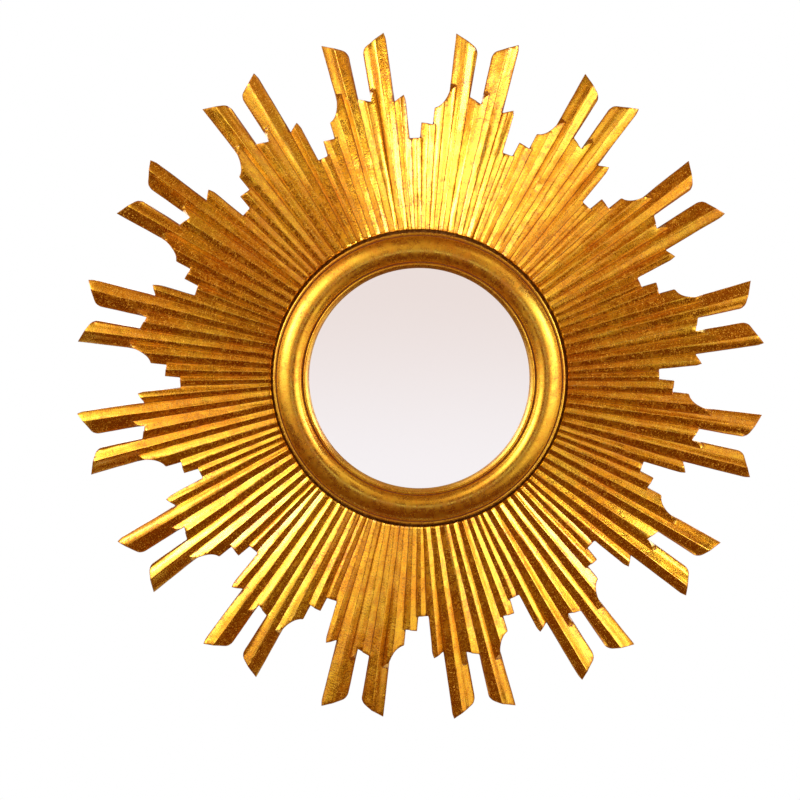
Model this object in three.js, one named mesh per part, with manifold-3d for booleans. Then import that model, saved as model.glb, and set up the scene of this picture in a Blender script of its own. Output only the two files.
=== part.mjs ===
// Gilded sunburst wall mirror, in millimetres.
// It hangs in the XZ plane, with +Z up, the wall at y = 0 and the front towards -Y.
// Angles are in degrees, clockwise from the top as seen from the front.
import * as THREE from 'three';
import { ConvexGeometry } from 'three/addons/geometries/ConvexGeometry.js';
import { mergeVertices } from 'three/addons/utils/BufferGeometryUtils.js';
import Module from 'manifold-3d';

const wasm = await Module();
wasm.setup();

// The board: 16 like groups, each of 7 ridges and 2 long rays
const groups = 16;
const tipRadius = 453.2; // circle through the ray tips: the mirror measures 901.7 over them
const boardThickness = 15; // at the bottom of the grooves
const seatThickness = 12; // under the ring
const ridgeSlope = 0.6; // rise over half the width of a ridge
const rootDepth = 0.35; // how far a ray's root lies under the ridge that it grows out of
const rootLength = 5; // how far a ray runs in under the fan

// Where the ridges end: first the gap, then two steps, a cove, the arches beside the rays, and a tooth
const gapRadius = 314.6;
const gapAngles = [-2.3, 0.15];
const lowStepRadius = 334.8;
const lowStepFall = 2.2;
const lowStepAngles = [0.45, 3.02];
const highStepRadius = 354.3;
const highStepAngle = 3.2;
const coveBow = 2.5;
const coveBowAngle = 5.15;
const coveRadius = 376.6;
const archRadius = 385;
const firstArchAngles = [7.25, 8.4];
const secondArchAngles = [13.1, 14, 15.3];
const archFall = 2.5;
const slotRadius = 373.3; // between the two rays
const slotFall = 6.6;
const toothRadius = 363.9;
const toothRise = 6.8;
const toothAngles = [17.6, 19.4, 19.72];

// The two long rays: their edges, and the corners of their slanted ends as drops below the tip circle
const firstRayLeftAngle = 5.95;
const firstRayPeakAngle = 6.05;
const firstRayBluntAngle = 9.7;
const firstRayRightAngle = 10.17;
const secondRayLeftAngle = 12.65;
const secondRayBluntAngle = 13.05;
const secondRayShoulderAngle = 15.2;
const secondRayPeakAngle = 16.6;
const secondRayRightAngle = 16.85;
const secondRayFootRightAngle = 17.4;
const bluntDrop = 15.5;
const cornerDrop = 22;
const shoulderDrop = 7;
const edgeMargin = 1; // how far the roof over a ray passes its edges, in degrees
const spill = 0.5; // how far a ray's edge runs in past the corner of the fan

// The ring around the glass
const glassRadius = 149.5;
const glassThickness = 4;
const rebateClearance = 0.5;
const lipReach = 4.7; // how far the ring's lip covers the glass
const lipThickness = 3.4;
const innerBeadWidth = 4.2;
const innerBeadRise = 1.9;
const bevelRise = 10.7;
const bevelRun = 2.9;
const quirkWidth = 1.4;
const quirkDepth = 1;
const rollHalfWidth = 16.6;
const rollHeight = 10;
const outerBeadWidth = 3.3;
const outerBeadRise = 1.6;
const outerBeadHeight = 17; // of the bead's foot above the seat
const shadowGap = 4.6; // between the ring and the ends of the ridges

// The keyhole plate and its screws
const plateHeight = 230; // above the centre
const plateLength = 60;
const plateWidth = 26;
const plateThickness = 1.6;
const keyholeRadius = 4.5;
const keySlotRadius = 2.4;
const keySlotRise = 10;
const headPocketDepth = 9;
const headPocketMargin = 1.5;
const screwSpacing = 40;
const screwHeadRadius = 3.2;
const screwHeadDepth = 2.2;
const screwRimDepth = 0.4;
const screwShankRadius = 1.3;
const screwLength = 11;

const fit = 0.3; // between pieces that touch
const ringSides = 60;
const screwSides = 12;
const endSegments = 6; // around a round end of the plate
const spare = 30; // how far a cutting body passes what it cuts

// Crests and groove bottoms run straight. Each has its angle near the ring, and its angle out in the fan
const nearRadius = 203.7;
const farRadius = 308.9;
const grooves = [
  [-1.75, -1.83],
  [0.8, 0.64],
  [3.8, 3.68],
  [7.35, 7.28],
  [10.85, 10.2],
  [14.55, 14.06],
  [18.1, 17.5],
];
const crests = [
  [-0.5, -0.5],
  [2.35, 2.06],
  [5.6, 5.42],
  [9.2, 8.52],
  [12.9, 11.94],
  [16.25, 15.54],
  [19.65, 18.82],
];
const firstRayRidge = 3;
const secondRayRidge = 5;

// All the angles above are those of a group of 22.5 degrees. Another number of groups draws them in or out
const drawnSector = 22.5;
const spread = 360 / groups / drawnSector;

const rebateRadius = glassRadius + rebateClearance;
const lipRadius = glassRadius - lipReach;
const seatHeight = seatThickness + fit;
const glassFront = seatHeight + glassThickness;
const ringRadius = lipRadius + bevelRun + innerBeadWidth + 2 * (quirkWidth + rollHalfWidth) + outerBeadWidth;
const seatRadius = ringRadius + shadowGap;

function material(name, color, roughness, metalness) {
  return new THREE.MeshStandardMaterial({ name, color, roughness, metalness });
}

const gilt = material('gilded_wood', 0xc48a1c, 0.42, 0.7);
const mirror = material('mirror_glass', 0xe9e4e4, 0.03, 1);
const steel = material('zinc_steel', 0xa9a79f, 0.4, 1);

const radians = THREE.MathUtils.degToRad;

// A point of the board's face, with x to the right and y up. The angle is one of the first group's
function polar(angle, radius) {
  const turn = radians(angle * spread);
  return new THREE.Vector2(radius * Math.sin(turn), radius * Math.cos(turn));
}

// The angle of a crest or groove line where it passes a radius
function angleAt([near, far], radius) {
  const lean = (near - far) / (1 / nearRadius - 1 / farRadius);
  return near + lean * (1 / radius - 1 / nearRadius);
}

// The groove on the far side of a ridge, the next group's first one after the last ridge
function grooveAfter(ridge) {
  const next = grooves[(ridge + 1) % grooves.length];
  return ridge + 1 < grooves.length ? next : next.map((angle) => angle + drawnSector);
}

function crestHeight(ridge, radius) {
  const width = angleAt(grooveAfter(ridge), radius) - angleAt(grooves[ridge], radius);
  return boardThickness + (ridgeSlope * radians(width * spread) * radius) / 2;
}

// A body that can be joined and cut, from a closed geometry
function solid(geometry) {
  const bare = new THREE.BufferGeometry();
  bare.setAttribute('position', geometry.getAttribute('position').clone());
  if (geometry.index) bare.setIndex(geometry.index.clone());
  const merged = mergeVertices(bare, 1e-4);
  const vertProperties = new Float32Array(merged.getAttribute('position').array);
  const corners = Array.from(merged.index.array);
  const triVerts = [];
  for (let i = 0; i < corners.length; i += 3) {
    const [a, b, c] = corners.slice(i, i + 3);
    if (a !== b && b !== c && c !== a) triVerts.push(a, b, c);
  }
  const mesh = new wasm.Mesh({ numProp: 3, vertProperties, triVerts: Uint32Array.from(triVerts) });
  return new wasm.Manifold(mesh);
}

function geometryOf(body) {
  const { vertProperties, triVerts } = body.getMesh();
  const geometry = new THREE.BufferGeometry();
  geometry.setAttribute('position', new THREE.BufferAttribute(new Float32Array(vertProperties), 3));
  geometry.setIndex(new THREE.BufferAttribute(new Uint32Array(triVerts), 1));
  geometry.computeVertexNormals();
  return geometry;
}

// A flat shape made into a plate that stands on the plane of the board's back
function plateOf(points, thickness) {
  return new THREE.ExtrudeGeometry(new THREE.Shape(points), { depth: thickness, bevelEnabled: false });
}

// The same body turned into each group's place and joined
function aroundTheBoard(geometry) {
  let all = null;
  for (let group = 0; group < groups; group += 1) {
    const turned = solid(geometry.clone().rotateZ((-2 * Math.PI * group) / groups));
    all = all ? all.add(turned) : turned;
  }
  return all;
}

// The ridges before they are cut to length: a ring of wedges between spokes, each a line with its own heights
function flutedBlank() {
  const innerRadius = seatRadius;
  const outerRadius = tipRadius + spare;
  const spokes = [];
  for (let group = 0; group < groups; group += 1) {
    crests.forEach((crest, ridge) => {
      spokes.push({ line: grooves[ridge], group, height: () => boardThickness });
      spokes.push({ line: crest, group, height: (radius) => crestHeight(ridge, radius) });
    });
  }
  const ground = [[innerRadius, 0], [outerRadius, 0]];
  const section = [...ground, [outerRadius, 1], [farRadius, 1], [innerRadius, 1], [innerRadius, 0]];
  const profile = section.map(([radius, level]) => new THREE.Vector2(radius, level));
  const lathe = new THREE.LatheGeometry(profile, spokes.length);
  const position = lathe.getAttribute('position');
  for (let i = 0; i <= spokes.length; i += 1) {
    const spoke = spokes[spokes.length - 1 - (i % spokes.length)];
    profile.forEach(({ x: radius, y: level }, j) => {
      const { x, y } = polar(angleAt(spoke.line, radius) + spoke.group * drawnSector, radius);
      position.setXYZ(i * profile.length + j, x, y, level * spoke.height(radius));
    });
  }
  return solid(lathe);
}

// The plan of the fan: the ends of the ridges, without the rays that grow out of two of them
function fanOutline() {
  const points = [];
  for (let group = 0; group < groups; group += 1) {
    const start = group * drawnSector;
    const at = (angle, radius) => points.push(polar(start + angle, radius));
    at(gapAngles[0], gapRadius);
    at(gapAngles[1], gapRadius);
    at(lowStepAngles[0], lowStepRadius);
    at(lowStepAngles[1], lowStepRadius - lowStepFall);
    at(highStepAngle, highStepRadius);
    const cove = new THREE.QuadraticBezierCurve(
      polar(start + highStepAngle, highStepRadius),
      polar(start + coveBowAngle, highStepRadius + coveBow),
      polar(start + firstRayLeftAngle, coveRadius),
    );
    points.push(...cove.getPoints(4).slice(1));
    at(firstArchAngles[0], archRadius);
    at(firstArchAngles[1], archRadius - archFall);
    at(firstRayRightAngle, slotRadius);
    at(secondRayLeftAngle, slotRadius - slotFall);
    at(secondArchAngles[0], slotRadius + archFall);
    at(secondArchAngles[1], archRadius - archFall);
    at(secondArchAngles[2], archRadius - 2 * archFall);
    at(secondRayFootRightAngle, toothRadius);
    at(toothAngles[0], toothRadius);
    at(toothAngles[1], toothRadius + toothRise);
    at(toothAngles[2], toothRadius);
  }
  return points.reverse();
}

// One long ray: a roof over the faces of its ridge, cut to the ray's plan with a slanted end
function ray(ridge, plan) {
  const edges = plan.map(([angle]) => angle);
  const roof = [];
  for (const radius of [farRadius, tipRadius + spare]) {
    const crestAngle = angleAt(crests[ridge], radius);
    const crest = crestHeight(ridge, radius) - rootDepth;
    const rise = crest - boardThickness + rootDepth;
    const leftEdge = Math.min(...edges) - edgeMargin;
    const rightEdge = Math.max(...edges) + edgeMargin;
    const leftShare = (crestAngle - leftEdge) / (crestAngle - angleAt(grooves[ridge], radius));
    const rightShare = (rightEdge - crestAngle) / (angleAt(grooveAfter(ridge), radius) - crestAngle);
    const corners = [
      [leftEdge, crest - rise * leftShare],
      [crestAngle, crest],
      [rightEdge, crest - rise * rightShare],
    ];
    for (const [angle, height] of corners) {
      const { x, y } = polar(angle, radius);
      roof.push(new THREE.Vector3(x, y, height), new THREE.Vector3(x, y, 0));
    }
  }
  const cut = plateOf(plan.map(([angle, radius]) => polar(angle, radius)).reverse(), 3 * boardThickness);
  return geometryOf(solid(new ConvexGeometry(roof)).intersect(solid(cut)));
}

function firstRay() {
  return ray(firstRayRidge, [
    [firstArchAngles[0], coveRadius - rootLength],
    [firstRayLeftAngle, coveRadius - spill],
    [firstRayPeakAngle, tipRadius],
    [firstRayBluntAngle, tipRadius - bluntDrop],
    [firstRayRightAngle, tipRadius - cornerDrop],
    [firstRayRightAngle, slotRadius - spill],
    [firstRayBluntAngle, slotRadius - rootLength],
  ]);
}

function secondRay() {
  return ray(secondRayRidge, [
    [secondArchAngles[0], slotRadius - slotFall - rootLength],
    [secondRayLeftAngle, slotRadius - slotFall - spill],
    [secondRayLeftAngle, tipRadius - cornerDrop],
    [secondRayBluntAngle, tipRadius - bluntDrop],
    [secondRayShoulderAngle, tipRadius - shoulderDrop],
    [secondRayPeakAngle, tipRadius],
    [secondRayRightAngle, tipRadius - shoulderDrop],
    [secondRayFootRightAngle, toothRadius - spill],
    [secondRayRightAngle, toothRadius - rootLength],
  ]);
}

// The flat middle that the ring and the glass lie on
function seat() {
  const overlap = 2;
  const radius = seatRadius + overlap;
  const disc = new THREE.CylinderGeometry(radius, radius, seatThickness, ringSides);
  return solid(disc.rotateX(Math.PI / 2).translate(0, 0, seatThickness / 2));
}

// The recess for the keyhole plate, the room behind it for a wall screw's head, and the two screw holes
function hangerRecess() {
  const depth = plateThickness + 2 * fit;
  const options = { depth: depth + spare, bevelEnabled: false, curveSegments: endSegments };
  const hollow = new THREE.ExtrudeGeometry(plateShape(fit), options);
  const recess = solid(hollow.translate(0, plateHeight, -spare));
  const pocketWidth = 2 * (keyholeRadius + headPocketMargin);
  const pocketHeight = pocketWidth + keySlotRise;
  const pocket = new THREE.BoxGeometry(pocketWidth, pocketHeight, headPocketDepth + spare);
  const pocketMiddle = plateHeight + keyholeCentre() + keySlotRise / 2;
  let cut = recess.add(solid(pocket.translate(0, pocketMiddle, (headPocketDepth - spare) / 2)));
  for (const side of [-1, 1]) {
    const radius = screwShankRadius + fit;
    const hole = new THREE.CylinderGeometry(radius, radius, 2 * (screwLength + fit), screwSides);
    cut = cut.add(solid(hole.rotateX(Math.PI / 2).translate((side * screwSpacing) / 2, plateHeight, fit)));
    cut = cut.add(solid(screwHead(fit).translate((side * screwSpacing) / 2, plateHeight, fit)));
  }
  return cut;
}

// The big end of the keyhole lies below the middle of the plate, so that the mirror drops onto its screw
function keyholeCentre() {
  return -keySlotRise / 2;
}

function sunburst() {
  const fan = flutedBlank().intersect(solid(plateOf(fanOutline(), 3 * boardThickness)));
  const rays = aroundTheBoard(firstRay()).add(aroundTheBoard(secondRay()));
  return geometryOf(fan.add(seat()).add(rays).subtract(hangerRecess()));
}

// Half a circle's worth of points from one side of a round moulding to the other
function roundMoulding(innerRadius, halfWidth, foot, height, steps) {
  const points = [];
  for (let i = 0; i <= steps; i += 1) {
    const turn = Math.PI * (1 - i / steps);
    const radius = innerRadius + halfWidth * (1 + Math.cos(turn));
    points.push(new THREE.Vector2(radius, foot + height * Math.sin(turn)));
  }
  return points;
}

// The ring's section, as radius and height over the wall
function roundFrame() {
  const lipTop = glassFront + 2 * fit + lipThickness;
  const beadFoot = lipTop + bevelRise;
  const innerBead = lipRadius + bevelRun;
  const roll = innerBead + innerBeadWidth + quirkWidth;
  const outerBead = roll + 2 * rollHalfWidth + quirkWidth;
  const outerFoot = seatHeight + outerBeadHeight;
  const section = [
    new THREE.Vector2(rebateRadius, seatHeight),
    new THREE.Vector2(rebateRadius, glassFront + fit),
    new THREE.Vector2(lipRadius, glassFront + fit),
    new THREE.Vector2(lipRadius, lipTop),
    ...roundMoulding(innerBead, innerBeadWidth / 2, beadFoot, innerBeadRise, 3),
    ...roundMoulding(roll, rollHalfWidth, beadFoot - quirkDepth, rollHeight, 8),
    ...roundMoulding(outerBead, outerBeadWidth / 2, outerFoot, outerBeadRise, 3),
    new THREE.Vector2(ringRadius, seatHeight),
    new THREE.Vector2(rebateRadius, seatHeight),
  ];
  return geometryOf(solid(lathed(section.reverse(), ringSides)));
}

// A turned body, with its axis on the board's axis
function lathed(section, sides) {
  return new THREE.LatheGeometry(section, sides).rotateX(Math.PI / 2);
}

function mirrorGlass() {
  const disc = new THREE.CylinderGeometry(glassRadius, glassRadius, glassThickness, ringSides);
  return geometryOf(solid(disc.rotateX(Math.PI / 2).translate(0, 0, seatHeight + glassThickness / 2)));
}

// The outline of the keyhole plate, with round ends, grown by a clearance
function plateShape(clearance) {
  const shape = new THREE.Shape();
  const corner = plateWidth / 2;
  const straight = plateLength / 2 - corner;
  shape.absarc(straight, 0, corner + clearance, -Math.PI / 2, Math.PI / 2);
  shape.absarc(-straight, 0, corner + clearance, Math.PI / 2, 1.5 * Math.PI);
  return shape;
}

// The keyhole plate, flush with the back of the board
function hangerPlate() {
  const shape = plateShape(0);
  const keyhole = new THREE.Path();
  const bigEnd = keyholeCentre();
  const neck = Math.asin(keySlotRadius / keyholeRadius);
  keyhole.absarc(0, bigEnd, keyholeRadius, Math.PI / 2 + neck, Math.PI / 2 - neck + 2 * Math.PI);
  keyhole.absarc(0, bigEnd + keySlotRise - keySlotRadius, keySlotRadius, 0, Math.PI);
  shape.holes.push(keyhole);
  const options = { depth: plateThickness, bevelEnabled: false, curveSegments: endSegments };
  const plate = new THREE.ExtrudeGeometry(shape, options);
  let body = solid(plate.translate(0, plateHeight, fit));
  for (const side of [-1, 1]) {
    body = body.subtract(solid(screwHead(fit).translate((side * screwSpacing) / 2, plateHeight, fit)));
  }
  return geometryOf(body);
}

// A countersunk head with its flat side on the wall's side, grown by a clearance
function screwHead(clearance) {
  const big = screwHeadRadius + clearance;
  const small = screwShankRadius + clearance;
  const section = [
    new THREE.Vector2(0, -clearance),
    new THREE.Vector2(big, -clearance),
    new THREE.Vector2(big, screwRimDepth),
    new THREE.Vector2(small, screwHeadDepth),
    new THREE.Vector2(0, screwHeadDepth),
  ];
  return lathed(section, screwSides);
}

function hangerScrew(side) {
  const length = screwLength - screwRimDepth;
  const shank = new THREE.CylinderGeometry(screwShankRadius, screwShankRadius, length, screwSides);
  const placed = shank.rotateX(Math.PI / 2).translate(0, 0, screwLength - length / 2);
  const whole = solid(screwHead(0)).add(solid(placed));
  return geometryOf(whole.translate([(side * screwSpacing) / 2, plateHeight, fit]));
}

function piece(name, geometry, material) {
  const mesh = new THREE.Mesh(geometry, material);
  mesh.name = name;
  return mesh;
}

const wallMirror = new THREE.Group();
wallMirror.rotation.x = Math.PI / 2;
wallMirror.add(piece('sunburst', sunburst(), gilt));
wallMirror.add(piece('round_frame', roundFrame(), gilt));
wallMirror.add(piece('mirror_glass', mirrorGlass(), mirror));
wallMirror.add(piece('hanger_plate', hangerPlate(), steel));
wallMirror.add(piece('hanger_screw_left', hangerScrew(-1), steel));
wallMirror.add(piece('hanger_screw_right', hangerScrew(1), steel));

export default wallMirror;
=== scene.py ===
"""A gilded sunburst mirror: carved board, turned ring, glass and hanger, with their finishes."""

import math

import bpy
import numpy as np
from bpy.props import FloatProperty, FloatVectorProperty, PointerProperty
from bpy.types import Operator, Panel, PropertyGroup
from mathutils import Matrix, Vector, noise
from mathutils.geometry import delaunay_2d_cdt


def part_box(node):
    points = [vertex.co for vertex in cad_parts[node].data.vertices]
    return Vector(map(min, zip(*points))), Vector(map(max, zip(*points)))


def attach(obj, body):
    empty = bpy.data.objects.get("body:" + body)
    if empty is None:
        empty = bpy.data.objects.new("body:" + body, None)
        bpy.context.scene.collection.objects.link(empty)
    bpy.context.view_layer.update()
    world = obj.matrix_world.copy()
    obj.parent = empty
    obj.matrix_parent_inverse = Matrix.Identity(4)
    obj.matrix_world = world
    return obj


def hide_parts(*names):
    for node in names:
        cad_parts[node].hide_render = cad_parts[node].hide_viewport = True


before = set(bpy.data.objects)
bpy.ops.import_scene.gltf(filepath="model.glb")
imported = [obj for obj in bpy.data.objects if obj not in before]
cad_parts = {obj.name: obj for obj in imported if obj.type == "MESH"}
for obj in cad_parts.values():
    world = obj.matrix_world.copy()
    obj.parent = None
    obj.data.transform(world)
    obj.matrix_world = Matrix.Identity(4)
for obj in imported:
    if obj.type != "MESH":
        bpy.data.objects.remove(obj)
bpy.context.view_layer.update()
RING_LOW, RING_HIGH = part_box("round_frame")
GLASS_LOW, GLASS_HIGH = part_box("mirror_glass")
PLATE_LOW, PLATE_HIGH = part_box("hanger_plate")

bl_info = {
    "name": "Gilded sunburst mirror",
    "version": (1, 0, 0),
    "blender": (4, 5, 0),
    "location": "View3D > Sidebar > Mirror",
    "description": "Carves the sunburst board and turns the ring of a gilded wall mirror",
    "category": "Add Mesh",
}

# The board's drawing, in millimetres and in degrees clockwise from the top, for one of 16 like groups
GROUPS = 16
SECTOR = 22.5
NEAR_RADIUS = 203.7
FAR_RADIUS = 308.9
GROOVES = ((-1.75, -1.83), (0.8, 0.64), (3.8, 3.68), (7.35, 7.28), (10.85, 10.2), (14.55, 14.06),
           (18.1, 17.5))
CRESTS = ((-0.5, -0.5), (2.35, 2.06), (5.6, 5.42), (9.2, 8.52), (12.9, 11.94), (16.25, 15.54),
          (19.65, 18.82))
NEXT_GROOVE = tuple(angle + SECTOR for angle in GROOVES[0])
ALL_GROOVES = GROOVES + (NEXT_GROOVE,)
GAP_RADIUS = 314.6
LOW_STEP_RADIUS = 334.8
HIGH_STEP_RADIUS = 354.3
COVE_RADIUS = 376.6
ARCH_RADIUS = 385.0
SLOT_RADIUS = 373.3
SLOT_FALL = 6.6
TOOTH_RADIUS = 363.9
RAY_SHOULDER = 15.5
RAY_SIDE = 22
SEAT_THICKNESS = 12.0
SEAT_DISC = 150.0
SHADOW_GAP = 4.0
SEAT_EDGE = 1.3
GROOVE_SIDE = 1.3
ROW_STEP = 4.4
CREST_SHARES = (-1, -0.4, 0.4, 1)
FAR_OFF = 99.0

# How far the marks for the finish reach from a groove, a crest and the outline, in millimetres
HOLLOW_REACH = 1.2
CREST_REACH = 0.9
RIM_REACH = 1.3

# The knot beside a long ray at the upper right, as place, size and depth in millimetres
KNOTS = ((156.0, 254.0, 4.5, 1.6),)

# The seed of the carver's strayings, which keeps the board inside its box
HAND_SEED = 11

# Widths in the ring's section, in metres, and how far across the round moulding its crest lies
BEVEL = 0.0029
INNER_BEAD = 0.0042
OUTER_BEAD = 0.0033
CREST_SHARE = 0.42

# Sides of the turned pieces
RING_SIDES = 240
GLASS_SIDES = 200
SCREW_SIDES = 40
HOLE_SIDES = 32

# The keyhole plate and the hollow behind it, in millimetres
CLEARANCE = 0.3
SCREW_OFFSET = 20
KEYHOLE_RADIUS = 4.5
SLOT_HALF_WIDTH = 2.4
SLOT_RISE = 10.0
POCKET_HALF_WIDTH = 6
POCKET_HALF_HEIGHT = 11
POCKET_BOTTOM = 9.0

# Colours of the lights, and the lights themselves: degrees off the mirror's axis, degrees clockwise
# from the top, the setting of the power, width and height, distance from the middle, and colour
WHITE = (1.0, 0.97, 0.9)
WARM = (1.0, 0.8, 0.4)
AMBER = (1.0, 0.65, 0.25)
LIGHTS = (
    (55, 83, "right_power", 1.0, 0.8, 1.35, WHITE),
    (55, 292, "left_power", 1.0, 0.8, 1.35, WHITE),
    (55, 95, "glow_power", 1.7, 1.5, 1.35, WARM),
    (55, 290, "glow_power", 1.7, 1.5, 1.35, WARM),
    (37, 0, "upper_power", 0.8, 0.6, 1.0, AMBER),
    (61, 70, "spark_power", 0.3, 0.3, 1.33, WHITE),
    (61, 292, "spark_power", 0.3, 0.3, 1.33, WHITE),
    (62, 34, "shoulder_power", 0.8, 0.5, 1.7, WARM),
    (62, 326, "shoulder_power", 0.8, 0.5, 1.7, WARM),
    (135, 70, "back_power", 1.2, 1.4, 1.35, WHITE),
    (135, 290, "back_power", 1.2, 1.4, 1.35, WHITE),
)

# The point that the camera looks at and the width of the picture there, in metres
CAMERA_AIM = Vector((-0.0252, -0.015, -0.0283))
PICTURE_WIDTH = 1.0516
SENSOR_WIDTH = 36

# Where a ridge's end slopes down onto the face beyond it: angles, radii where it starts, radii where it ends
FIRST_ARCH = ((5.95, 7.28), (376.6, 385.0), (387.5, 385.3))
SECOND_ARCH = ((12.65, 13.1, 14.06), (366.7, 376.3, 382.5), (379.0, 384.0, 382.8))
LOW_LEDGE = ((0.1, 0.64), (314.6, 314.6), (316.8, 314.9))
HIGH_LEDGE = ((3.0, 3.68), (332.6, 332.6), (335.4, 332.9))
LEDGES = ((3, FIRST_ARCH), (5, SECOND_ARCH), (1, LOW_LEDGE), (2, HIGH_LEDGE))

# What all the colours to set have in common, and all the powers
COLOUR = {"size": 3, "subtype": "COLOR", "min": 0, "max": 1}
POWER = {"min": 0, "unit": "POWER"}


class SunburstSizes(PropertyGroup):
    """Sizes of the carved board"""
    tip_radius: FloatProperty(
        name="Tip radius", description="Circle through the tips of the long rays", default=0.4532,
        unit="LENGTH")
    board_thickness: FloatProperty(
        name="Board thickness", description="Board at the bottom of the grooves", default=0.015,
        unit="LENGTH")
    ridge_slope: FloatProperty(
        name="Ridge slope", description="Rise of a ridge over half its width", default=0.6)
    crest_round: FloatProperty(
        name="Crest rounding", description="Half the width of a rubbed crest", default=0.00055, unit="LENGTH")
    edge_round: FloatProperty(
        name="Edge rounding", description="How far the rounding of an outline edge reaches in", default=0.001,
        unit="LENGTH")
    wobble: FloatProperty(
        name="Hand wobble", description="How far the carver's lines stray", default=0.0005, unit="LENGTH")
    face_swell: FloatProperty(
        name="Face swell", description="Bulge of a ridge's face, as a share of its width", default=0.035)
    unevenness: FloatProperty(
        name="Unevenness", description="Difference in height of the ridges, as a share of it", default=0.55)
    tool_marks: FloatProperty(
        name="Tool marks", description="Height of the waves that the gouge left", default=0.00016,
        unit="LENGTH")


class RingSizes(PropertyGroup):
    """Sizes of the turned ring"""
    outer_radius: FloatProperty(
        name="Outer radius", description="Radius over the outer bead", unit="LENGTH",
        default=(RING_HIGH.x - RING_LOW.x) / 2)
    back: FloatProperty(
        name="Back", description="Distance of the ring's back from the wall", default=-RING_HIGH.y,
        unit="LENGTH")
    top: FloatProperty(
        name="Top", description="Distance of the crest from the wall", default=-RING_LOW.y, unit="LENGTH")
    roll_half_width: FloatProperty(
        name="Roll half width", description="Half the width of the round moulding", default=0.0166,
        unit="LENGTH")
    roll_height: FloatProperty(
        name="Roll height", description="Height of the round moulding", default=0.0098, unit="LENGTH")
    quirk_width: FloatProperty(
        name="Quirk width", description="Width of the groove beside a bead", default=0.0014,
        unit="LENGTH")
    quirk_depth: FloatProperty(
        name="Quirk depth", description="Depth of the groove beside a bead", default=0.0012,
        unit="LENGTH")


class GlassSizes(PropertyGroup):
    """Sizes of the mirror glass"""
    radius: FloatProperty(
        name="Radius", description="Radius of the plate", default=(GLASS_HIGH.x - GLASS_LOW.x) / 2,
        unit="LENGTH")
    arris: FloatProperty(
        name="Arris", description="Width of the ground edge", default=0.0006, unit="LENGTH")


class GiltColours(PropertyGroup):
    """Colours of the gilding and of what shows through it"""
    leaf: FloatVectorProperty(
        name="Leaf", description="Gold leaf", default=(0.92, 0.63, 0.05), **COLOUR)
    deep_leaf: FloatVectorProperty(
        name="Deep leaf", description="Leaf under more toning", default=(0.86, 0.4, 0.015), **COLOUR)
    bole: FloatVectorProperty(
        name="Bole", description="Orange-brown clay where the leaf is rubbed through",
        default=(0.55, 0.21, 0.01), **COLOUR)
    # Also the colour of the painted highlight lines along the crests
    chalk_and_crest_highlight: FloatVectorProperty(
        name="Chalk", description="Pale ground where the leaf is worn right through",
        default=(0.95, 0.56, 0.08), **COLOUR)
    # On the ring the glaze is also painted shade over the lip and the outer wall
    glaze: FloatVectorProperty(
        name="Glaze", description="Dark toning left in the hollows", default=(0.24, 0.045, 0.003), **COLOUR)
    roughness: FloatProperty(
        name="Roughness", description="Roughness of the leaf", default=0.22, min=0, max=1, subtype="FACTOR")


class StageSettings(PropertyGroup):
    """Light and camera"""
    right_power: FloatProperty(
        name="Right light", description="Power of the light on the right", default=3.3, **POWER)
    left_power: FloatProperty(
        name="Left light", description="Power of the light on the left", default=4.2, **POWER)
    glow_power: FloatProperty(
        name="Glow", description="Power of the wide weak light around each side light", default=7.2, **POWER)
    upper_power: FloatProperty(
        name="Upper light", description="Power of the warm light high in front", default=0.38, **POWER)
    spark_power: FloatProperty(
        name="Spark lights", description="Power of each small light for highlights", default=2.3, **POWER)
    shoulder_power: FloatProperty(
        name="Shoulder lights", description="Power of each warm light high at a side", default=1.1, **POWER)
    back_power: FloatProperty(
        name="Back lights", description="Power of each light behind", default=11, **POWER)
    camera_distance: FloatProperty(
        name="Camera distance", description="Camera to the board", default=3.0, unit="LENGTH")
    camera_elevation: FloatProperty(
        name="Camera elevation", description="Camera over the middle", default=math.radians(3.35),
        subtype="ANGLE")
    camera_side: FloatProperty(
        name="Camera side", description="Camera to the right of the middle", default=math.radians(1.1),
        subtype="ANGLE")
    floor_drop: FloatProperty(
        name="Floor drop", description="Floor below the middle", default=1.3, unit="LENGTH")


# Mesh helpers

def polar(angle, radius):
    """Plan points from angles in degrees and radii."""
    turn = np.radians(angle)
    return np.stack([radius * np.sin(turn), radius * np.cos(turn)], axis=-1)


def line_angle(line, radius):
    """The angle of a straight crest or groove line where it passes a radius."""
    near, far = line
    lean = (near - far) / (1 / NEAR_RADIUS - 1 / FAR_RADIUS)
    return near + lean * (1 / radius - 1 / NEAR_RADIUS)


def between_lines(first, second, share):
    return tuple(a + (b - a) * share for a, b in zip(first, second))


def pairs(count):
    """Each place in a closed row with the one after it."""
    return [(i, (i + 1) % count) for i in range(count)]


def at_level(loop, level):
    """Plan points with one distance from the wall."""
    return np.column_stack([loop, np.full(len(loop), level)])


def on_wall(points):
    """Plan points and their distances from the wall, in millimetres, as places in metres."""
    return np.column_stack([points[:, 0], -points[:, 2], points[:, 1]]) / 1000


def noise_at(x, y, z):
    return noise.noise(Vector((x, y, z)))


def new_object(name, data):
    made = bpy.data.objects.new(name, data)
    bpy.context.scene.collection.objects.link(made)
    return made


def make_object(name, vertices, faces, material, smooth_degrees=40):
    """A smooth-shaded mesh object whose edges over the angle stay sharp."""
    mesh = bpy.data.meshes.new(name)
    mesh.from_pydata([tuple(v) for v in vertices], [], [tuple(f) for f in faces])
    mesh.validate()
    mesh.update()
    mesh.shade_smooth()
    mesh.set_sharp_from_angle(angle=math.radians(smooth_degrees))
    mesh.materials.append(material)
    return new_object(name, mesh)


def paint_values(piece, name, values):
    """A number for each vertex, for the finish to read."""
    layer = piece.data.attributes.new(name, "FLOAT", "POINT")
    layer.data.foreach_set("value", np.asarray(values, dtype=np.float32))


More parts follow.
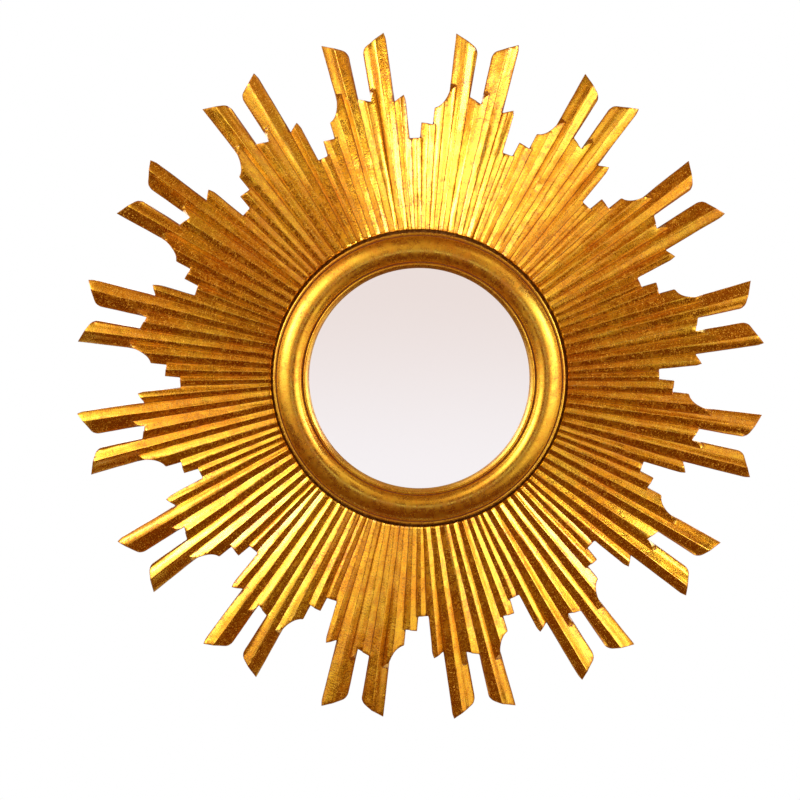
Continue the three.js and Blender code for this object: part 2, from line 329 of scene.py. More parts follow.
def lathe(profile, sides):
    """Vertices and faces of a closed profile (radius, distance from the wall) turned about the axis."""
    radius, height = np.array(profile).T
    turns = np.arange(sides) * 2 * math.pi / sides
    rings = [np.stack([radius * math.sin(t), -height, radius * math.cos(t)], 1) for t in turns]
    vertices = np.concatenate(rings)
    count = len(profile)
    faces = []
    for side, after in pairs(sides):
        here, there = side * count, after * count
        faces += [(here + j, here + k, there + k, there + j) for j, k in pairs(count)]
    return vertices, faces


def swell(start, crest, end, foot, height, steps):
    """A low round moulding's section, an arc up to its crest and another down from it."""
    points = []
    for run, turn in ((crest - start, -1), (end - crest, 1)):
        bow = (run * run + height * height) / (2 * height)
        reach = math.asin(min(1.0, run / bow))
        for i in range(steps + 1):
            t = reach * (1 - i / steps if turn < 0 else i / steps)
            points.append((crest + turn * bow * math.sin(t), foot + height - bow * (1 - math.cos(t))))
    return points[:steps] + points[steps + 1:]


# The board's plan

def softened(corners):
    """Plan points of a polyline of (angle, radius, rounding) corners, each rounded off by its amount."""
    points = [polar(angle, radius) for angle, radius, _ in corners]
    out = [points[0]]
    for i in range(1, len(points) - 1):
        before, here, after = points[i - 1], points[i], points[i + 1]
        cut = corners[i][2]
        back = min(cut, 0.4 * np.linalg.norm(before - here))
        on = min(cut, 0.4 * np.linalg.norm(after - here))
        start = here + (before - here) / np.linalg.norm(before - here) * back
        end = here + (after - here) / np.linalg.norm(after - here) * on
        for t in (0, 0.25, 0.5, 0.75, 1):
            out.append((1 - t) ** 2 * start + 2 * t * (1 - t) * here + t ** 2 * end)
    out.append(points[-1])
    return out


def stepped(points, step):
    """The same polyline with no stretch longer than the step."""
    out = [points[0]]
    for before, here in zip(points, points[1:]):
        count = max(1, math.ceil(np.linalg.norm(here - before) / step))
        out += [before + (here - before) * (i + 1) / count for i in range(count)]
    return out


def group_outline(tip):
    """The outer edge of one group, from its first groove line to the next group's."""
    cove = [polar(3.2, HIGH_STEP_RADIUS), polar(5.15, HIGH_STEP_RADIUS + 2.5), polar(5.95, COVE_RADIUS)]
    cove_corners = []
    for t in (0.2, 0.4, 0.6, 0.8):
        x, y = (1 - t) ** 2 * cove[0] + 2 * t * (1 - t) * cove[1] + t ** 2 * cove[2]
        cove_corners.append((math.degrees(math.atan2(x, y)), math.hypot(x, y), 3))
    corners = [
        (line_angle(GROOVES[0], GAP_RADIUS), GAP_RADIUS, 0),
        (0.15, GAP_RADIUS, 2.5), (0.45, LOW_STEP_RADIUS, 0.8),
        (3.02, LOW_STEP_RADIUS - 2.2, 1.2), (3.2, HIGH_STEP_RADIUS, 1.2),
        *cove_corners,
        (5.95, COVE_RADIUS, 1.5), (6.05, tip, 0.8),
        (9.7, tip - RAY_SHOULDER, 5), (10.17, tip - RAY_SIDE, 3),
        (10.17, SLOT_RADIUS, 1.5), (12.65, SLOT_RADIUS - SLOT_FALL, 1.5),
        (12.65, tip - RAY_SIDE, 3), (13.05, tip - RAY_SHOULDER, 4),
        (15.2, tip - 7, 4), (16.6, tip, 0.8), (16.85, tip - 7, 2),
        (17.4, TOOTH_RADIUS, 0.5), (17.6, TOOTH_RADIUS, 0.5), (19.4, TOOTH_RADIUS + 6.8, 0.8),
        (19.72, TOOTH_RADIUS, 2), (20.2, GAP_RADIUS, 2.5),
        (line_angle(NEXT_GROOVE, GAP_RADIUS), GAP_RADIUS, 0),
    ]
    return stepped(softened(corners), 4.5)


def inside(points, polygon):
    """Which points lie in a closed polygon."""
    x, y = points[:, 0][:, None], points[:, 1][:, None]
    x0, y0 = polygon[:, 0], polygon[:, 1]
    x1, y1 = np.roll(x0, -1), np.roll(y0, -1)
    crossing = (y0 > y) != (y1 > y)
    with np.errstate(divide="ignore", invalid="ignore"):
        where = x0 + (y - y0) * (x1 - x0) / (y1 - y0)
    return (crossing & (x < where)).sum(1) % 2 == 1


def distance_to(points, line):
    """The distance of each point from a polyline."""
    start, end = line[:-1], line[1:]
    along = end - start
    length = (along ** 2).sum(1)
    offset = points[:, None, :] - start
    share = np.clip((offset * along).sum(2) / length, 0, 1)
    return np.linalg.norm(offset - share[:, :, None] * along, axis=2).min(1)


def crest_rise(ridge, radius, slope):
    width = line_angle(ALL_GROOVES[ridge + 1], radius) - line_angle(GROOVES[ridge], radius)
    return slope * np.radians(width) * radius / 2


def left_face(ridge, angle, radius, slope):
    """Height over the groove of the face on a ridge's left, carried on past its groove."""
    groove = line_angle(GROOVES[ridge], radius)
    crest = line_angle(CRESTS[ridge], radius)
    return crest_rise(ridge, radius, slope) * (angle - groove) / (crest - groove)


def ridge_height(angle, radius, slope):
    """Height of the ridges' faces over the groove bottoms."""
    height = np.zeros_like(radius)
    for ridge in range(len(CRESTS)):
        start = line_angle(GROOVES[ridge], radius)
        crest = line_angle(CRESTS[ridge], radius)
        end = line_angle(ALL_GROOVES[ridge + 1], radius)
        rise = crest_rise(ridge, radius, slope)
        up = (angle - start) / (crest - start)
        down = (end - angle) / (end - crest)
        height = np.where((angle >= start) & (angle <= end), rise * np.minimum(up, down), height)
    return height


def face_height(angle, radius, slope):
    """The same with the faces that run on past a groove, and the short slopes down to them."""
    height = ridge_height(angle, radius, slope)
    for ridge, (angles, starts, ends) in LEDGES:
        groove = line_angle(GROOVES[ridge], radius)
        start = np.interp(angle, angles, starts)
        end = np.interp(angle, angles, ends)
        beyond = (angle < groove) & (angle > angles[0] - 1) & (radius > start)
        share = np.clip((radius - start) / (end - start), 0, 1)
        lower = left_face(ridge, angle, radius, slope)
        height = np.where(beyond, height * (1 - share) + lower * share, height)
    return height


def face_up(points, triangles):
    """Turns the triangles anticlockwise, and gives their corners and twice their areas."""
    corners = points[triangles]
    turn = np.cross(corners[:, 1] - corners[:, 0], corners[:, 2] - corners[:, 0])
    triangles[turn < 0] = triangles[turn < 0][:, ::-1]
    return corners, np.abs(turn)


def near_line(angle, radius, line):
    """Distance across from a crest or groove line."""
    return np.abs(np.radians(angle - line_angle(line, radius)) * radius)


def group_plan(tip, crest_round, edge_round):
    """The triangles of one group's plan, with the lines that they follow."""
    seat_radius = RING_HIGH.x * 1000 + SHADOW_GAP
    outline = np.array(group_outline(tip))
    seat_rows = [seat_radius, seat_radius + 0.5, seat_radius + SEAT_EDGE]
    rows = np.concatenate([seat_rows, np.arange(seat_radius + 4, tip + 8, ROW_STEP)])
    seam_rows = np.append(rows[rows < GAP_RADIUS - 1.5], GAP_RADIUS)
    left_seam = polar(line_angle(GROOVES[0], seam_rows), seam_rows)
    right_seam = polar(line_angle(NEXT_GROOVE, seam_rows), seam_rows)
    crest_steps = [np.degrees(share * crest_round / seat_radius) for share in CREST_SHARES]
    inner_turns = [line_angle(groove, seat_radius) for groove in ALL_GROOVES]
    inner_turns += [line_angle(crest, seat_radius) + step for crest in CRESTS for step in crest_steps]
    for i, crest in enumerate(CRESTS):
        for groove in ALL_GROOVES[i:i + 2]:
            lines = [between_lines(groove, crest, share) for share in (0.4, 0.75)]
            inner_turns += [line_angle(line, seat_radius) for line in lines]
    inner_turns = np.sort(inner_turns)
    inner_arc = polar(inner_turns, np.full(len(inner_turns), seat_radius))
    border = np.concatenate([left_seam[:-1], outline, right_seam[::-1][1:-1], inner_arc[::-1][:-1]])

    points = [tuple(p) for p in border]
    edges = pairs(len(border))

    def add_line(line):
        first = len(points)
        points.extend(tuple(p) for p in line)
        edges.extend((first + i, first + i + 1) for i in range(len(line) - 1))

    groove_ends = {1: GAP_RADIUS, 2: LOW_STEP_RADIUS - 2.2, 3: ARCH_RADIUS, 4: SLOT_RADIUS - 2.5,
                   5: ARCH_RADIUS - 2.5, 6: TOOTH_RADIUS - 2}
    for ridge, end in groove_ends.items():
        radii = np.append(rows[rows < end - 2], end)
        add_line(polar(line_angle(GROOVES[ridge], radii), radii))
    crest_ends = {0: GAP_RADIUS, 1: LOW_STEP_RADIUS, 2: COVE_RADIUS + 2, 4: SLOT_RADIUS, 6: TOOTH_RADIUS + 7}
    for ridge, crest in enumerate(CRESTS):
        radii = rows[rows < crest_ends.get(ridge, tip) + 6]
        for share in CREST_SHARES:
            add_line(polar(line_angle(crest, radii) + np.degrees(share * crest_round / radii), radii))
    for ridge, (angles, starts, ends) in LEDGES:
        for radii in (starts, ends):
            dense = np.linspace(angles[0] - 0.05, angles[-1], 5)
            add_line(polar(dense, np.interp(dense, angles, radii)))

    loose = []
    rows = rows[1:]
    for ridge, crest in enumerate(CRESTS):
        for groove, side in ((GROOVES[ridge], 1), (ALL_GROOVES[ridge + 1], -1)):
            for share in (0.36, 0.68):
                loose.append(polar(line_angle(between_lines(groove, crest, share), rows), rows))
            loose.append(polar(line_angle(groove, rows) + side * np.degrees(GROOVE_SIDE / rows), rows))
            loose.append(polar(line_angle(crest, rows) - side * np.degrees(2.2 * crest_round / rows), rows))
    # More points along the left edges of the two long rays, beyond the arches
    for angle in (6.35, 6.9, 13.0, 13.55):
        radii = rows[rows > ARCH_RADIUS + 3]
        loose.append(polar(np.full(len(radii), angle), radii))
    loose = np.concatenate(loose)
    away = distance_to(loose, outline)
    loose = loose[(away > 1.7) & inside(loose, border)]
    along = np.diff(outline, axis=0)
    normal = np.stack([along[:, 1], -along[:, 0]], 1) / np.linalg.norm(along, axis=1)[:, None]
    middle = (outline[:-1] + outline[1:]) / 2
    for offset in (0.35 * edge_round, edge_round):
        rim = np.concatenate([outline[:-1] + normal * offset, middle + normal * offset])
        keep = inside(rim, border) & (distance_to(rim, outline) > 0.9 * offset)
        loose = np.concatenate([loose, rim[keep]])
    for groove in (GROOVES[0], NEXT_GROOVE):
        angle = np.degrees(np.arctan2(loose[:, 0], loose[:, 1]))
        radius = np.hypot(loose[:, 0], loose[:, 1])
        loose = loose[near_line(angle, radius, groove) > 0.5]
    points.extend(tuple(p) for p in loose)

    found, _, triangles, *_ = delaunay_2d_cdt([Vector(p) for p in points], edges, [], 0, 1e-3, False)
    plan = np.array([tuple(p) for p in found])
    triangles = np.array([t for t in triangles if len(t) == 3])
    corners, area = face_up(plan, triangles)
    longest = np.linalg.norm(corners - np.roll(corners, 1, axis=1), axis=2).max(1)
    triangles = triangles[inside(corners.mean(1), border) & (area / longest > 2e-4)]
    used = np.unique(triangles)
    lookup = np.zeros(len(plan), dtype=int)
    lookup[used] = np.arange(len(used))
    return plan[used], lookup[triangles], outline


# The carved board

def carve_board(sizes, name, gilding, bare_wood, gap_shade_finish):
    """The board's front, its cut edges and its back, as one closed mesh."""
    tip, board, slope = sizes.tip_radius * 1000, sizes.board_thickness * 1000, sizes.ridge_slope
    crest_round, edge_round = sizes.crest_round * 1000, sizes.edge_round * 1000
    seat_radius = RING_HIGH.x * 1000 + SHADOW_GAP
    plan, triangles, outline = group_plan(tip, crest_round, edge_round)
    radius = np.hypot(plan[:, 0], plan[:, 1])
    angle = np.degrees(np.arctan2(plan[:, 0], plan[:, 1]))

    from_outline = distance_to(plan, outline)
    from_crest = np.min([near_line(angle, radius, crest) for crest in CRESTS], axis=0)
    # On the slopes at the ridges' ends, dirt gathers along the foot and not along a groove
    open_groove = np.ones(len(plan), dtype=bool)
    foot = np.full(len(plan), FAR_OFF)
    for ridge, (angles, starts, ends) in LEDGES:
        start = np.interp(angle, angles, starts)
        here = (angle > angles[0] - 1) & (angle < angles[-1] + 0.7) & (radius > start + 1)
        open_groove &= ~here
        foot = np.where(here, np.minimum(foot, np.abs(radius - np.interp(angle, angles, ends))), foot)
    from_groove = np.min([near_line(angle, radius, groove) for groove in ALL_GROOVES], axis=0)
    face_width = from_groove + from_crest
    swelling = sizes.face_swell * 4 * from_groove * from_crest / face_width
    from_groove = np.where(open_groove, from_groove, foot)

    height = board + face_height(angle, radius, slope) + swelling
    height -= slope * np.clip(crest_round - from_crest, 0, None) ** 2 / (2 * crest_round)
    height -= 0.5 * edge_round * np.clip(1 - from_outline / edge_round, 0, 1) ** 2
    height -= 0.9 * np.clip(1 - (radius - seat_radius) / SEAT_EDGE, 0, 1) ** 2

    left = np.flatnonzero(near_line(angle, radius, GROOVES[0]) < 2e-3)
    right = np.flatnonzero(near_line(angle, radius, NEXT_GROOVE) < 2e-3)
    left, right = left[np.argsort(radius[left])], right[np.argsort(radius[right])]
    if len(left) != len(right):
        raise RuntimeError(f"the two seams of a group differ: {len(left)} and {len(right)} points")
    own = np.setdiff1d(np.arange(len(plan)), right)
    place = np.zeros(len(plan), dtype=int)
    place[own] = np.arange(len(own))
    total = len(own) * GROUPS
    vertices, faces, marks = [], [], []
    shared = np.stack([np.exp(-(from_groove / HOLLOW_REACH) ** 2), np.exp(-(from_crest / CREST_REACH) ** 2),
                       np.exp(-from_outline / RIM_REACH)], 1)
    for group in range(GROUPS):
        numbers = place + group * len(own)
        numbers[right] = (place[left] + (group + 1) * len(own)) % total
        faces.append(numbers[triangles])
        spot = polar(angle[own] + group * SECTOR, radius[own])
        vertices.append(np.column_stack([spot, height[own], angle[own] + group * SECTOR, radius[own]]))
        marks.append(shared[own])
    vertices, faces, marks = np.concatenate(vertices), np.concatenate(faces), np.concatenate(marks)
    front = hand_cut(vertices, marks, sizes)

    loops = border_loops(faces)
    points = [front]
    count = len(front)
    all_faces = [tuple(face) for face in faces]
    outer = max(loops, key=len)
    inner = min(loops, key=len)
    # Rows down from each open edge: the radius to reach if any, the distance from the wall, the way inwards
    walls = [
        (outer, [(None, 0.8, 0), (None, 0.0, 0.7)]),
        (inner, [(None, SEAT_THICKNESS, 0), (SEAT_DISC, SEAT_THICKNESS, 0)]),
    ]
    last_rows = []
    for loop, rows in walls:
        gap_first = len(all_faces)
        edge = front[loop]
        before, after = np.roll(edge, 1, axis=0)[:, :2], np.roll(edge, -1, axis=0)[:, :2]
        way = after - before
        into = np.stack([-way[:, 1], way[:, 0]], 1) / np.linalg.norm(way, axis=1)[:, None]
        above = np.array(loop)
        for reach, level, shrink in rows:
            spot = edge[:, :2] + into * shrink
            if reach:
                spot = spot / np.linalg.norm(spot, axis=1)[:, None] * reach
            points.append(at_level(spot, level))
            below = np.arange(count, count + len(loop))
            count += len(loop)
            all_faces += [(above[i], below[i], below[j], above[j]) for i, j in pairs(len(loop))]
            above = below
        last_rows.append(above)
    all_faces.append(tuple(last_rows[1][::-1]))
    points = np.concatenate(points)
    back_first = len(all_faces)
    recess_points, recess_faces = hanger_recess(points, last_rows[0])
    points = np.concatenate([points, recess_points])
    all_faces += recess_faces

    board_piece = make_object(name, on_wall(points), all_faces, gilding, 45)
    board_piece.data.materials.append(bare_wood)
    board_piece.data.materials.append(gap_shade_finish)
    slots = np.zeros(len(board_piece.data.polygons), dtype=np.int32)
    # Painted shade: the wall and floor of the gap around the ring take the dark material
    slots[gap_first:] = 2
    slots[back_first:] = 1
    board_piece.data.polygons.foreach_set("material_index", slots)
    rest = points[len(front):]
    in_seat = np.hypot(rest[:, 0], rest[:, 1]) < seat_radius + 1
    for mark, values, beyond in zip(("hollow", "crest", "rim"), marks.T, (in_seat, 0 * in_seat, ~in_seat)):
        paint_values(board_piece, mark, np.concatenate([values, beyond]))
    return board_piece


def hand_cut(vertices, marks, sizes):
    """Lets the carver's lines stray a little and gives the faces the gouge's waves."""
    out = vertices[:, :3].copy()
    stray, waves = sizes.wobble * 1000, sizes.tool_marks * 1000
    ground = sizes.board_thickness * 1000
    noise.seed_set(HAND_SEED)
    # The divisors are wavelengths in millimetres, and each noise is cut at a level of its own
    for i, (x, y, height, angle, radius) in enumerate(vertices):
        wide = noise.noise_vector(Vector((x / 70, y / 70, 3.0)))
        fine = noise.noise_vector(Vector((x / 17, y / 17, 8.0)))
        out[i, 0] += stray * (wide.x + 0.4 * fine.x)
        out[i, 1] += stray * (wide.y + 0.4 * fine.y)
        gouge = noise_at(radius / 21, angle * 0.9, 1.0)
        short = noise_at(radius / 6, angle * 2.1, 4.0)
        nick = max(0.0, noise_at(x / 9, y / 9, 6.0) - 0.25) * (marks[i, 1] + marks[i, 2])
        own = noise_at(radius / 260, angle * 0.42, 12.0)
        own += 0.35 * noise_at(radius / 180, angle * 1.1, 30.0)
        out[i, 2] += waves * (2 * gouge + 0.5 * short) - 0.9 * nick
        out[i, 2] += sizes.unevenness * own * max(0.0, height - ground)
    for x, y, size, depth in KNOTS:
        away = np.hypot(out[:, 0] - x, out[:, 1] - y) / size
        out[:, 2] -= depth * np.exp(-away ** 2)
    return out


def border_loops(faces):
    """The closed rows of vertices along the open edges of a triangle mesh."""
    directed = np.concatenate([faces[:, [0, 1]], faces[:, [1, 2]], faces[:, [2, 0]]])
    taken = {(a, b) for a, b in directed.tolist()}
    follow = {a: b for a, b in taken if (b, a) not in taken}
    loops = []
    while follow:
        start, here = follow.popitem()
        loop = [start]
        while here != start:
            loop.append(here)
            here = follow.pop(here)
        loops.append(loop)
    return loops


def capsule(half_length, radius, centre_height, steps=16):
    """The outline of a strip with round ends, anticlockwise as seen from the front."""
    points = []
    for side, first in ((1, -90), (-1, 90)):
        for i in range(steps + 1):
            turn = math.radians(first + 180 * i / steps)
            x = side * (half_length - radius) + radius * math.cos(turn)
            points.append((x, centre_height + radius * math.sin(turn)))
    return np.array(points)


def filled(loops, holes=()):
    """Triangles that fill an outline, without its holes, numbered through all the loops."""
    points = np.concatenate(loops)
    edges, first = [], 0
    for loop in loops:
        edges += [(first + i, first + j) for i, j in pairs(len(loop))]
        first += len(loop)
    found, _, faces, origin, *_ = delaunay_2d_cdt([Vector(p) for p in points], edges, [], 0, 1e-5, True)
    number = {i: places[0] for i, places in enumerate(origin) if places}
    spots = np.array([tuple(p) for p in found])
    faces = np.array([f for f in faces if all(i in number for i in f)])
    corners, area = face_up(spots, faces)
    middle = corners.mean(1)
    keep = inside(middle, loops[0]) & (area > 1e-7)
    for hole in holes:
        keep &= ~inside(middle, hole)
    return [tuple(number[i] for i in face) for face in faces[keep].tolist()]


def hanger_recess(points, border):
    """The back of the board, with the hollow for the plate and the pocket for a wall screw's head."""
    plate_height = (PLATE_LOW.z + PLATE_HIGH.z) * 500
    half_length = PLATE_HIGH.x * 1000 + CLEARANCE
    radius = (PLATE_HIGH.z - PLATE_LOW.z) * 500 + CLEARANCE
    depth = -PLATE_LOW.y * 1000 + CLEARANCE
    rim = capsule(half_length, radius, plate_height)
    low, high = plate_height - POCKET_HALF_HEIGHT, plate_height + POCKET_HALF_HEIGHT
    side = POCKET_HALF_WIDTH
    pocket = np.array([(-side, low), (side, low), (side, high), (-side, high)])
    rows = [(rim, 0.0), (rim, depth), (pocket, depth), (pocket, POCKET_BOTTOM)]
    fresh = np.concatenate([at_level(loop, level) for loop, level in rows])
    starts = np.cumsum([0] + [len(loop) for loop, _ in rows]) + len(points)
    faces = []
    names = list(border) + list(range(starts[0], starts[1]))
    faces += [tuple(names[i] for i in face[::-1]) for face in filled([points[border][:, :2], rim], [rim])]
    faces += [tuple(starts[1] + i for i in face[::-1]) for face in filled([rim, pocket], [pocket])]
    for upper in (0, 2):
        above, below = starts[upper], starts[upper + 1]
        size = len(rows[upper][0])
        faces += [(above + j, below + j, below + i, above + i) for i, j in pairs(size)]
    faces.append(tuple(starts[3] + i for i in range(4))[::-1])
    return fresh, faces


# The ring, the glass and the hanger

def ring_stations(sizes):
    """The radii where the beads and the round moulding begin or end, and the moulding's crest."""
    outer_bead = RING_HIGH.x - OUTER_BEAD
    roll_end = outer_bead - sizes.quirk_width
    roll_start = roll_end - 2 * sizes.roll_half_width
    inner_bead = roll_start - sizes.quirk_width - INNER_BEAD
    crest = roll_start + CREST_SHARE * 2 * sizes.roll_half_width
    return inner_bead, roll_start, crest, roll_end, outer_bead


def ring_profile(sizes):
    """The ring's section: rebate, lip, bevel, bead, quirk, round moulding, quirk and outer bead."""
    stations = (radius * 1000 for radius in ring_stations(sizes))
    inner_bead, roll_start, crest, roll_end, outer_bead = stations
    bead_width = INNER_BEAD * 1000
    back, top = sizes.back * 1000, sizes.top * 1000
    foot = top - sizes.roll_height * 1000
    lip, lip_under = inner_bead - BEVEL * 1000, -GLASS_LOW.y * 1000 + CLEARANCE
    rebate, outside = GLASS_HIGH.x * 1000 + 0.5, sizes.outer_radius * 1000
    floor = foot - sizes.quirk_depth * 1000
    section = [(rebate, back), (rebate, lip_under), (lip + 0.3, lip_under), (lip, lip_under + 0.3)]
    section += [(lip, lip_under + 3.0), (lip + 0.5, lip_under + 3.6), (lip + 1.2, foot - 5.0)]
    section += [(inner_bead - 0.5, foot - 1.6), (inner_bead - 0.1, foot - 1.0)]
    section += swell(inner_bead, inner_bead + bead_width / 2, inner_bead + bead_width, foot - 0.8, 2.0, 7)
    section += [(inner_bead + 4.5, floor), (roll_start - 0.4, floor)]
    section += swell(roll_start, crest, roll_end, foot, sizes.roll_height * 1000, 22)
    section += [(roll_end + 0.4, floor), (outer_bead - 0.3, floor)]
    section += swell(outer_bead, outer_bead + 1.6, outside - 0.1, foot - 1.0, 1.7, 7)
    section += [(outside, foot - 1.6), (outside, back + 0.4), (outside - 0.4, back)]
    return [(radius / 1000, height / 1000) for radius, height in section]


def turn_ring(sizes, name, material):
    """The ring with a slightly uneven surface, how hollow or rubbed each part of it is, and painted shade on
    its lip and outer wall.
    """
    _, roll_start, crest, roll_end, _ = ring_stations(sizes)
    vertices, faces = lathe(ring_profile(sizes), RING_SIDES)
    foot = sizes.top - sizes.roll_height
    out = []
    for x, y, z in vertices:
        low = noise_at(x * 12, y * 30, z * 12)
        fine = noise_at(x * 70, y * 70, z * 70 + 5)
        shown = 1.0 if -y > foot else 0.0
        out.append((x, y + shown * abs(0.00025 * low + 0.0001 * fine), z))
    ring = make_object(name, out, faces, material, 50)
    depth = np.array([-y for _, y, _ in out])
    radius = np.array([math.hypot(x, z) for x, _, z in out])
    quirk_reach, rub_reach = 0.0015, 0.0025
    front, painted_lip_shade_edge, painted_wall_shade_top = foot - 0.006, roll_start - 0.0065, sizes.top - 0.0115
    hollow = np.zeros(len(out))
    for middle in (roll_start - sizes.quirk_width / 2, roll_end + sizes.quirk_width / 2):
        hollow = np.maximum(hollow, np.exp(-((radius - middle) / quirk_reach) ** 2) * (depth > front))
    # Painted shade: most of the glaze goes over the lip and the inner bevel, down to the glass
    hollow = np.maximum(hollow, 0.82 * (radius < painted_lip_shade_edge))
    # Painted shade: full glaze down the outer wall below the bead, in the gap
    hollow = np.maximum(hollow, (radius > sizes.outer_radius - 0.0005) * (depth < painted_wall_shade_top))
    paint_values(ring, "hollow", hollow)
    paint_values(ring, "crest", np.zeros(len(out)))
    paint_values(ring, "rim", 0.4 * np.exp(-((radius - crest) / rub_reach) ** 2))
    return ring


def cut_glass(sizes, name, material):
    """The flat plate with its ground edge. A small disc in the middle of each face closes it."""
    low, high, arris, radius, disc = -GLASS_HIGH.y, -GLASS_LOW.y, sizes.arris, sizes.radius, 0.02
    profile = [(disc, low), (radius - arris, low), (radius, low + arris), (radius, high - arris),
               (radius - arris, high), (disc, high)]
    vertices, faces = lathe(profile, GLASS_SIDES)
    count = len(profile)
    kept = [face for face in faces if not {face[0] % count, face[1] % count} == {0, count - 1}]
    kept.append(tuple(i * count for i in range(GLASS_SIDES))[::-1])
    kept.append(tuple(i * count + count - 1 for i in range(GLASS_SIDES)))
    return make_object(name, vertices, kept, material, 30)


def keyhole_outline(plate_height, steps=14):
    """The keyhole: a big round end, with a narrow slot that runs up from it."""
    big, narrow, rise = KEYHOLE_RADIUS, SLOT_HALF_WIDTH, SLOT_RISE
    centre = plate_height - rise / 2
    neck = math.asin(narrow / big)
    points = []
    for i in range(2 * steps + 1):
        turn = math.pi / 2 + neck + (2 * math.pi - 2 * neck) * i / (2 * steps)
        points.append((big * math.cos(turn), centre + big * math.sin(turn)))
    for i in range(steps + 1):
        turn = math.pi * i / steps
        points.append((narrow * math.cos(turn), centre + rise - narrow + narrow * math.sin(turn)))
    return np.array(points)


def stamp_plate(name, material):
    """The keyhole plate with softened edges and two countersunk holes."""
    height = (PLATE_LOW.z + PLATE_HIGH.z) * 500
    half_length, radius = PLATE_HIGH.x * 1000, (PLATE_HIGH.z - PLATE_LOW.z) * 500
    low, high, soft = -PLATE_HIGH.y * 1000, -PLATE_LOW.y * 1000, 0.25
    turns = [2 * math.pi * i / HOLE_SIDES for i in range(HOLE_SIDES)]

    def loops(edge, hole):
        key = keyhole_outline(height)
        middle = key.mean(0)
        made = [capsule(half_length - edge, radius - edge, height), middle + (key - middle) * (1 + edge / 6)]
        for side in (-SCREW_OFFSET, SCREW_OFFSET):
            made.append(np.array([(side + hole * math.cos(t), height + hole * math.sin(t)) for t in turns]))
        return made

    rows = [(loops(soft, 3.5), low), (loops(0, 3.1), low + soft)]
    rows += [(loops(0, 1.7), high - soft), (loops(soft, 1.7), high)]
    points, faces, starts = [], [], []
    count = 0
    for made, level in rows:
        starts.append([])
        for loop in made:
            starts[-1].append(count)
            points.append(at_level(loop, level))
            count += len(loop)
    for lower, upper in zip(starts, starts[1:]):
        for index, (a, b) in enumerate(zip(lower, upper)):
            quads = [(a + i, a + j, b + j, b + i) for i, j in pairs(len(rows[0][0][index]))]
            faces += quads if index == 0 else [quad[::-1] for quad in quads]
    for row, way in ((0, -1), (3, 1)):
        first = starts[row][0]
        faces += [tuple(first + i for i in face[::way]) for face in filled(rows[row][0], rows[row][0][1:])]
    return make_object(name, on_wall(np.concatenate(points)), faces, material, 35)


def turn_screw(node, name, material):
    """A countersunk screw with a slot in its head, in the place of its node."""
    low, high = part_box(node)
    middle_x, middle_z, face = (low.x + high.x) / 2, (low.z + high.z) / 2, high.y
    head, shank, length = (high.x - low.x) / 2, 0.0013, high.y - low.y
    profile = [(0.0, 0.0), (head - 0.0002, 0.0), (head, 0.0002), (head, 0.0004), (shank + 0.0002, 0.002),
               (shank, 0.0022), (shank, 0.0095), (0.0002, length), (0.0, length)]
    vertices, faces = lathe([(max(r, 1e-5), d) for r, d in profile], SCREW_SIDES)
    vertices = [(x + middle_x, y + face, z + middle_z) for x, y, z in vertices]
    screw = make_object(name, vertices, faces, material, 30)
    bpy.ops.mesh.primitive_cube_add(size=1, location=(middle_x, face, middle_z))
    blade = bpy.context.object
    blade.scale = (2.4 * head, 0.0016, 0.0009)
    blade.rotation_euler.y = 0.5 if middle_x > 0 else -0.9
    slot = screw.modifiers.new("slot", "BOOLEAN")
    slot.operation, slot.object, slot.solver = "DIFFERENCE", blade, "EXACT"
    bpy.context.view_layer.objects.active = screw
    bpy.ops.object.modifier_apply(modifier=slot.name)
    bpy.data.objects.remove(blade)
    return screw


# Finishes

def feed(tree, node, inputs):
    """Sets a node's inputs to numbers, or links them to other nodes' sockets."""
    for key, value in inputs.items():
        if isinstance(value, bpy.types.NodeSocket):
            tree.links.new(value, node.inputs[key])
        else:
            node.inputs[key].default_value = value


def add(tree, kind, inputs=None, **settings):
    """A shader node with its settings and inputs."""
    made = tree.nodes.new("ShaderNode" + kind)
    for key, value in settings.items():
        setattr(made, key, value)
    feed(tree, made, inputs or {})
    return made


def sums(tree, operation, first, second=0.0, third=0.0, clamp=False):
    made = add(tree, "Math", {0: first, 1: second, 2: third}, operation=operation, use_clamp=clamp)
    return made.outputs[0]


def weighed(tree, *terms):
    """The sum of values, each times its weight."""
    total = None
    for value, weight in terms:
        share = sums(tree, "MULTIPLY", value, weight)
        total = share if total is None else sums(tree, "ADD", total, share)
    return total


def blend(tree, share, first, second):
    """One colour at nought and the other at one."""
    first, second = (c if isinstance(c, bpy.types.NodeSocket) else (*c, 1.0) for c in (first, second))
    return add(tree, "Mix", {0: share, 6: first, 7: second}, data_type="RGBA").outputs[2]


def steep(tree, value, low, high):
    """Nought below the low value, one above the high one, and smooth between them."""
    return add(tree, "MapRange", {0: value, 1: low, 2: high}, interpolation_type="SMOOTHSTEP").outputs[0]


def cloud(tree, vector, scale, detail=2.0, rough=0.6):
    made = add(tree, "TexNoise", {"Vector": vector, "Scale": scale, "Detail": detail, "Roughness": rough})
    return made.outputs["Fac"]


def drawn_out(tree, vector, factors, detail):
    """A cloud drawn out along the lines of the work."""
    drawn = add(tree, "VectorMath", {0: vector, 1: factors}, operation="MULTIPLY").outputs[0]
    return cloud(tree, drawn, 1, detail)


def bumps(tree, height, strength, distance):
    return add(tree, "Bump", {"Height": height, "Strength": strength, "Distance": distance}).outputs[0]


def finish(name, recipe, *values):
    """The material of that name. The first call makes it with the shader inputs that the recipe gives."""
    material = bpy.data.materials.get(name)
    if not material:
        material = bpy.data.materials.new(name)
        material.use_nodes = True
        tree = material.node_tree
        place = add(tree, "TexCoord").outputs["Object"]
        feed(tree, tree.nodes["Principled BSDF"], recipe(tree, place, *values))
    return material


